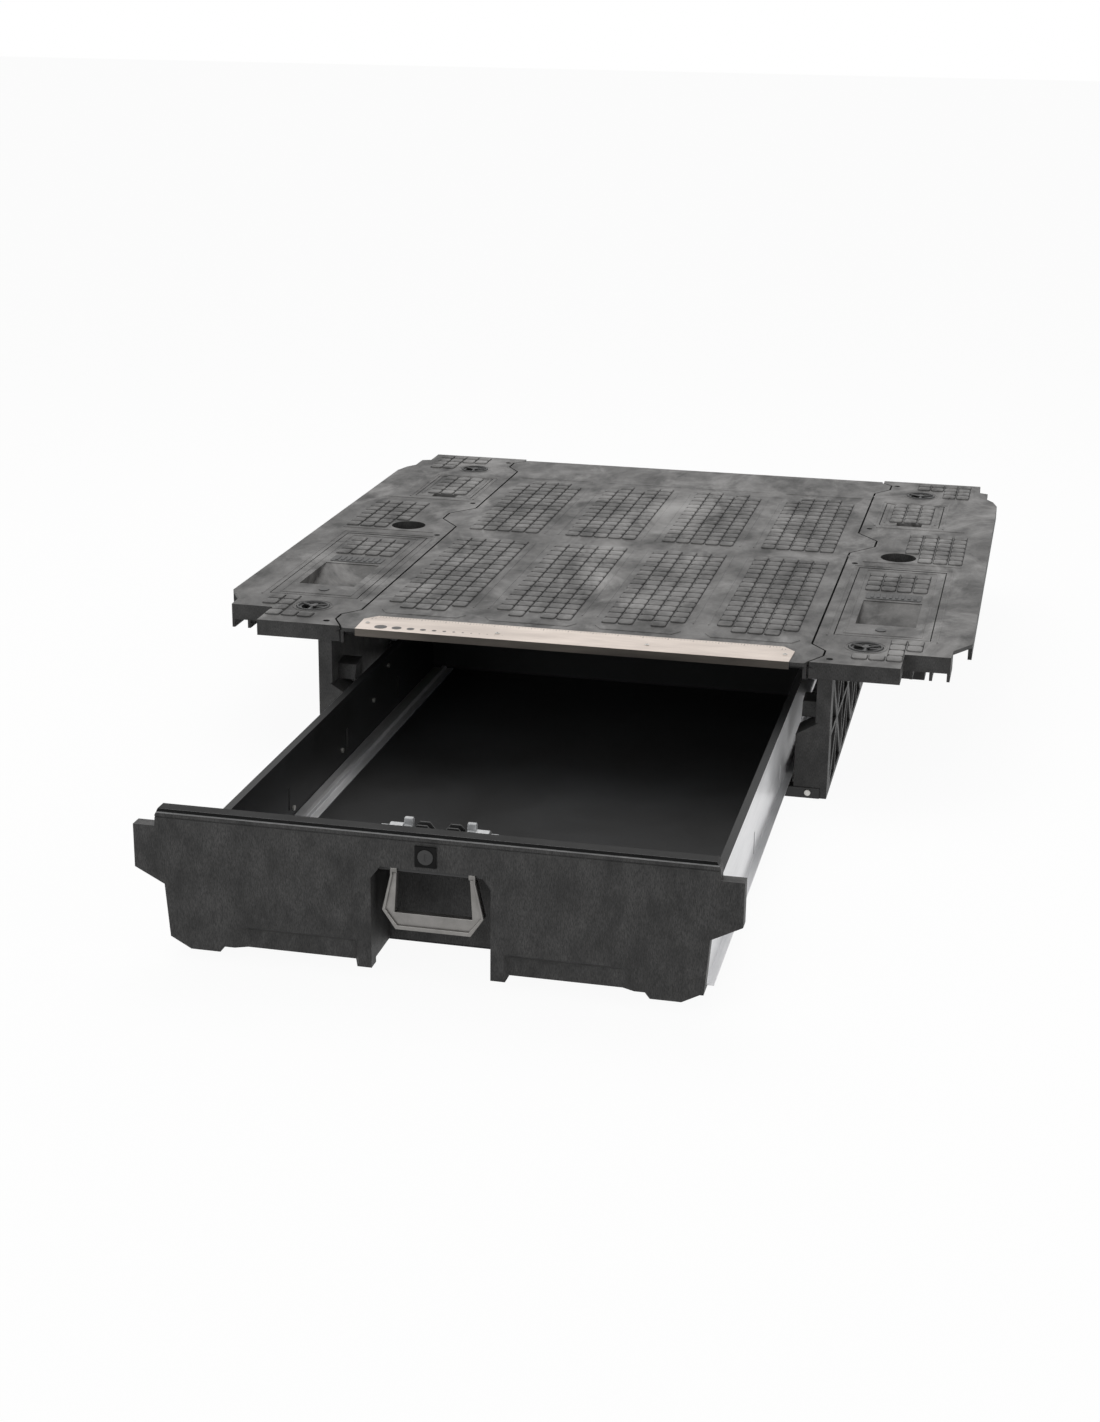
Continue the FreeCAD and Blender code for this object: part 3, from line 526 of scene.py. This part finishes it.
# columns of pads on a wing: corner x, corner y and number of pads
SIDE_PADS = (
    (551, 57, 1), (584.8, 57, 1), (618.6, 57, 4), (652.4, 134.2, 2),
    (590.6, 909.2, 5), (624.4, 832, 7), (658.2, 832, 7), (692, 832, 7),
    (572, 1574.2, 2), (605.8, 1574.2, 2), (639.6, 1497, 4), (673.4, 1497, 4),
)
CAPS = (("front", 572, 141), ("rear", 584, 1510))
for sign, tag in SIDES:
    wing = softened("deck_side_" + tag, PANEL_EDGE, flat_above=FLAT)
    # painted shade: the wing's upright faces get the darker moulding look
    paint(wing, LOOKS["moulding_black"], gets_skirt_shade)
    pads = bmesh.new()
    for x, y, rows in SIDE_PADS:
        pad_rows(pads, x, y, rows, sign)
    add_piece("tread_pads_" + tag, pads, LOOKS["deck"], "case")
    ridges = bmesh.new()
    bead(ridges, [(sign * 503, 812), (sign * 722, 812)], 5, 1.2)
    bead(ridges, [(sign * 503, 1146), (sign * 712, 1146)], 5, 1.2)
    for outer, inner, front, back in ((707, 488, 206, 774), (660, 498, 1164, 1419)):
        bead(ridges, [(sign * outer, front), (sign * outer, back), (sign * inner, back),
                      (sign * inner, front)], 5, 1.1)
    for spot, x, y in CAPS:
        bead(ridges, circle(sign * x, y, 41), 4, 1.0, closed=True)
    add_piece("deck_ridges_" + tag, ridges, LOOKS["deck"], "case")
    # lid: pads, a raised frame line and a plain ribbed bar behind the finger pocket
    softened("side_lid_" + tag, PANEL_EDGE, flat_above=FLAT)
    pads = bmesh.new()
    for i in range(4):
        pad_rows(pads, 531 + i * PITCH_X, 570, 4, sign, "side_lid_" + tag)
    bead(pads, [(sign * 520, 232), (sign * 674, 232), (sign * 674, 740), (sign * 520, 740)],
         4, 1.0, closed=True)
    add_piece("lid_pads_" + tag, pads, LOOKS["deck"], "side_lid_" + tag)
    bar = bmesh.new()
    block(bar, sign * 596, 525.5, 59, 24, DECK_TOP - 0.2, 281.4, 7, 0.6)
    for i in range(8):
        block(bar, sign * 596 + (i - 3.5) * 13, 525.5, 3.6, 16, 281.2, 282.6, 2.5, 0.6)
    add_piece("lid_bar_" + tag, bar, CAP, "side_lid_" + tag)
    softened("rear_hatch_" + tag, PANEL_EDGE, flat_above=FLAT)
    pads = bmesh.new()
    for i in range(3):
        pad_rows(pads, 530 + i * PITCH_X, 1207, 5, sign, "rear_hatch_" + tag)
    bead(pads, [(sign * 518, 1202), (sign * 518, 1396), (sign * 639, 1396), (sign * 639, 1202)],
         3.5, 1.0)
    add_piece("hatch_pads_" + tag, pads, LOOKS["deck"], "rear_hatch_" + tag)

# the dark plates are painted shade in the gaps between the pads
for body, bm in pad_shade_plates.items():
    add_piece("pad_gap_shade_" + body, bm, GAP_SHADE, body)

# dark strip below the seams between the deck's panels, painted shade in the gaps between them
SEAM = [
    (472, 15), (497, 62), (497, 98), (466, 139), (466, 885), (517, 955), (517, 1012),
    (468, 1078), (468, 1510), (502, 1562), (502, 1612), (478, 1636), (478, 1648),
]
seam_shade = bmesh.new()
for sign, tag in SIDES:
    bead(seam_shade, [(sign * x, y) for x, y in SEAM], 16, 1.6, z=269.0)
add_piece("seam_gap_shade", seam_shade, GAP_SHADE, "case")

# turning caps: a rim, a hub and three spokes
for sign, tag in SIDES:
    for spot, x, y in CAPS:
        name = "anchor_cap_%s_%s" % (spot, tag)
        softened(name, PANEL_EDGE, look=CAP)
        rim = bmesh.new()
        bead(rim, circle(sign * x, y, 32), 5, 2.2, closed=True)
        loft(rim, [disc(sign * x, y, DECK_TOP - 0.1, 8), disc(sign * x, y, 281.6, 8),
                   disc(sign * x, y, 282.2, 7)])
        for turn in (30, 150, 270):
            a = math.radians(turn)
            bead(rim, [(sign * x + 8 * math.cos(a), y + 8 * math.sin(a)),
                       (sign * x + 30 * math.cos(a), y + 30 * math.sin(a))], 6, 1.6)
        add_piece("cap_rim_%s_%s" % (spot, tag), rim, CAP, name)

# ---------------------------------------------------------------- measuring strip
plate = softened("ruler_plate", 0.35, segments=1)
# painted shade: the strip's lower front faces get the darker metal
paint(plate, LIP_SHADE, lambda spot, normal: spot[2] < 281.2 and spot[1] < 3)
PLATE = 281.5
MARK_LOW, MARK_HIGH = PLATE - 0.05, PLATE + 0.12
marks = bmesh.new()
# a row of dots, each smaller than the last
DOTS = 13
SHRINK = 0.78
x = -390.0
size = 13.0
for i in range(DOTS):
    y = 24 + i * 0.4
    loft(marks, [disc(x, y, MARK_LOW, size), disc(x, y, MARK_HIGH, size)])
    size *= SHRINK
    x += 14 + 1.9 * size
# even divisions along the back edge, longer at each fourth and eighth; not a copy of a real scale
TICK = 6.35
SCALE_HALF = 424
for i in range(int(2 * SCALE_HALF / TICK) + 1):
    x = -SCALE_HALF + i * TICK
    long = 11 if i % 8 == 0 else 8 if i % 4 == 0 else 5
    back = 96 if abs(x) < 412 else 84
    block(marks, x, back - long / 2, 0.55, long / 2, MARK_LOW, MARK_HIGH, 0.1, 0.05)
add_piece("strip_marks", marks, MARK, "case")
# dark crosses on the screw heads, painted shade in their slots
slot_shade = bmesh.new()
for x, y in ((-424, 46), (-152, 40), (152, 40), (424, 46)):
    for half_x, half_y in ((3.2, 0.6), (0.6, 3.2)):
        block(slot_shade, x, y, half_x, half_y, 282.85, 282.96, 0.1, 0.02)
add_piece("screw_slot_shade", slot_shade, MARK, "case")
softened("ruler_screws", 0.5)


# ---------------------------------------------------------------- drawer front
FRONT_Y = (-992.6 - STRIP_Y) / 1000
STEP_DEEP = 0.009
GROOVE_DEEP = 0.0016


def front_relief(bm):
    """Two grooves along the lip and a slope to the feet along the lower edge, cut into the face."""
    def cut(axis, value):
        normal = Vector((0, 0, 0))
        normal[axis] = 1
        geometry = bm.verts[:] + bm.edges[:] + bm.faces[:]
        bmesh.ops.bisect_plane(bm, geom=geometry, plane_co=normal * (value / 1000), plane_no=normal,
                               dist=1e-6)

    for x in (-330, -310, -127, -120, 120, 127, 310, 330):
        cut(0, x)
    for z in (62, 70, 245, 246.5, 248, 254, 255.5, 257):
        cut(2, z)
    for v in bm.verts:
        if abs(v.co.y - FRONT_Y) > 2e-5:
            continue
        x, z = abs(v.co.x) * 1000, v.co.z * 1000
        if 126.9 < x < 310.1 and z < 62.1:
            v.co.y += STEP_DEEP
        if abs(z - 246.5) < 0.05 or abs(z - 255.5) < 0.05:
            v.co.y += GROOVE_DEEP


panel = softened("drawer_front", 1.2, shape=front_relief)
paint(panel, GLOSS, lambda spot, normal: spot[2] > 255.6 and abs(spot[0]) < 462)
# painted highlight on the groove's ledge and along the top front edge
paint(panel, LEDGE_HIGHLIGHT, lambda spot, normal: 253.9 < spot[2] < 255.6 and spot[1] < -990)
paint(panel, LEDGE_HIGHLIGHT, lambda spot, normal: (spot[2] > 260.5 and spot[1] < -991.2
                                          and abs(spot[0]) < 453))
softened("latch_brackets", 0.8)
softened("lock_bezel", 0.8, look=GLOSS)
softened("drawer_lock", 0.5, look=CAP)
softened("handle_pin", 0.4, look=CAP)


def prism_x(bm, low, high, profile):
    """A solid with the profile (y, z), from one x to another."""
    loft(bm, [[at(x, y, z) for y, z in profile] for x in (low, high)])


def prism_y(bm, low, high, profile):
    """A solid with the profile (x, z), from one y to another."""
    loft(bm, [[at(x, y, z) for x, z in profile] for y in (low, high)])


# pull handle: a cast frame with a raised rim, hung from two eyes
OUTER = [(70, 190), (70, 180), (84, 120), (62, 88)]
WINDOW = [(60, 190), (60, 182), (64, 116)]
RIM = [(66, 190), (66, 180), (78.5, 121), (59, 95)]
grip = bmesh.new()
for inner, depth in ((WINDOW, (-976, -964)), (RIM, (-980, -976.05))):
    loop = inner + [(-x, z) for x, z in reversed(inner)] + [(-x, z) for x, z in OUTER] + OUTER[::-1]
    prism_y(grip, depth[0], depth[1], loop)
for sign in (1, -1):
    prism_x(grip, sign * 58.5, sign * 69.8, circle(-972, 190, 7.9, 28))
grip = add_piece("pull_handle_cast", grip, LOOKS["handle_metal"], "handle")
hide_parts("pull_handle")
bevelled(grip, 0.9)

# latch: on either side a claw with its arm and tip, and all on one shaft between two plates
NOSE = [(-951, 228), (-931, 226), (-924, 240), (-921, 258), (-926, 262), (-934, 262), (-936, 250),
        (-951, 246)]
ARM = [(-947, 229), (-930, 228), (-926, 244), (-931, 253), (-944, 251)]
TIP = [(-944, 232), (-932, 232), (-930, 243), (-934, 249), (-942, 248)]
PLATE_LOOP = [(8, 232), (40, 232), (40, 250), (34, 257), (17, 257), (8, 246)]
claws = bmesh.new()
plates = bmesh.new()
for sign in (1, -1):
    prism_x(claws, sign * 45, sign * 59, NOSE)
    prism_x(claws, sign * 59, sign * 82, ARM)
    prism_x(claws, sign * 82, sign * 97, TIP)
    for low, high in ((-948, -945), (-931, -928)):
        prism_y(plates, low, high, [(sign * x, z) for x, z in PLATE_LOOP])
prism_x(claws, -76, 76, circle(-940, 236, 3.9, 20))
claws = add_piece("latch_claws_cast", claws, LOOKS["claw_metal"], "latch")
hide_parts("latch_claws")
bevelled(claws, 1.2)
plates = add_piece("latch_plates", plates, CAP, "drawer")
bevelled(plates, 0.8)


# ---------------------------------------------------------------- the rest, with softened edges
# the faces of a rail that lie nearer the middle than this get the drawer's black, painted shade inside
# the drawer
RAIL_SHADE_SIDE = 436.5
for sign, tag in SIDES:
    softened("lid_lock_" + tag, 0.6, look=CAP)
    softened("case_wall_" + tag, 0.7, segments=1)
    rail = softened("drawer_rail_" + tag, 0.4, segments=1)
    # painted shade on the rail's inner faces
    paint(rail, LOOKS["tub_black"], lambda spot, normal: abs(spot[0]) < RAIL_SHADE_SIDE)
    softened("floor_strip_" + tag, 0.5)

low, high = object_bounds()
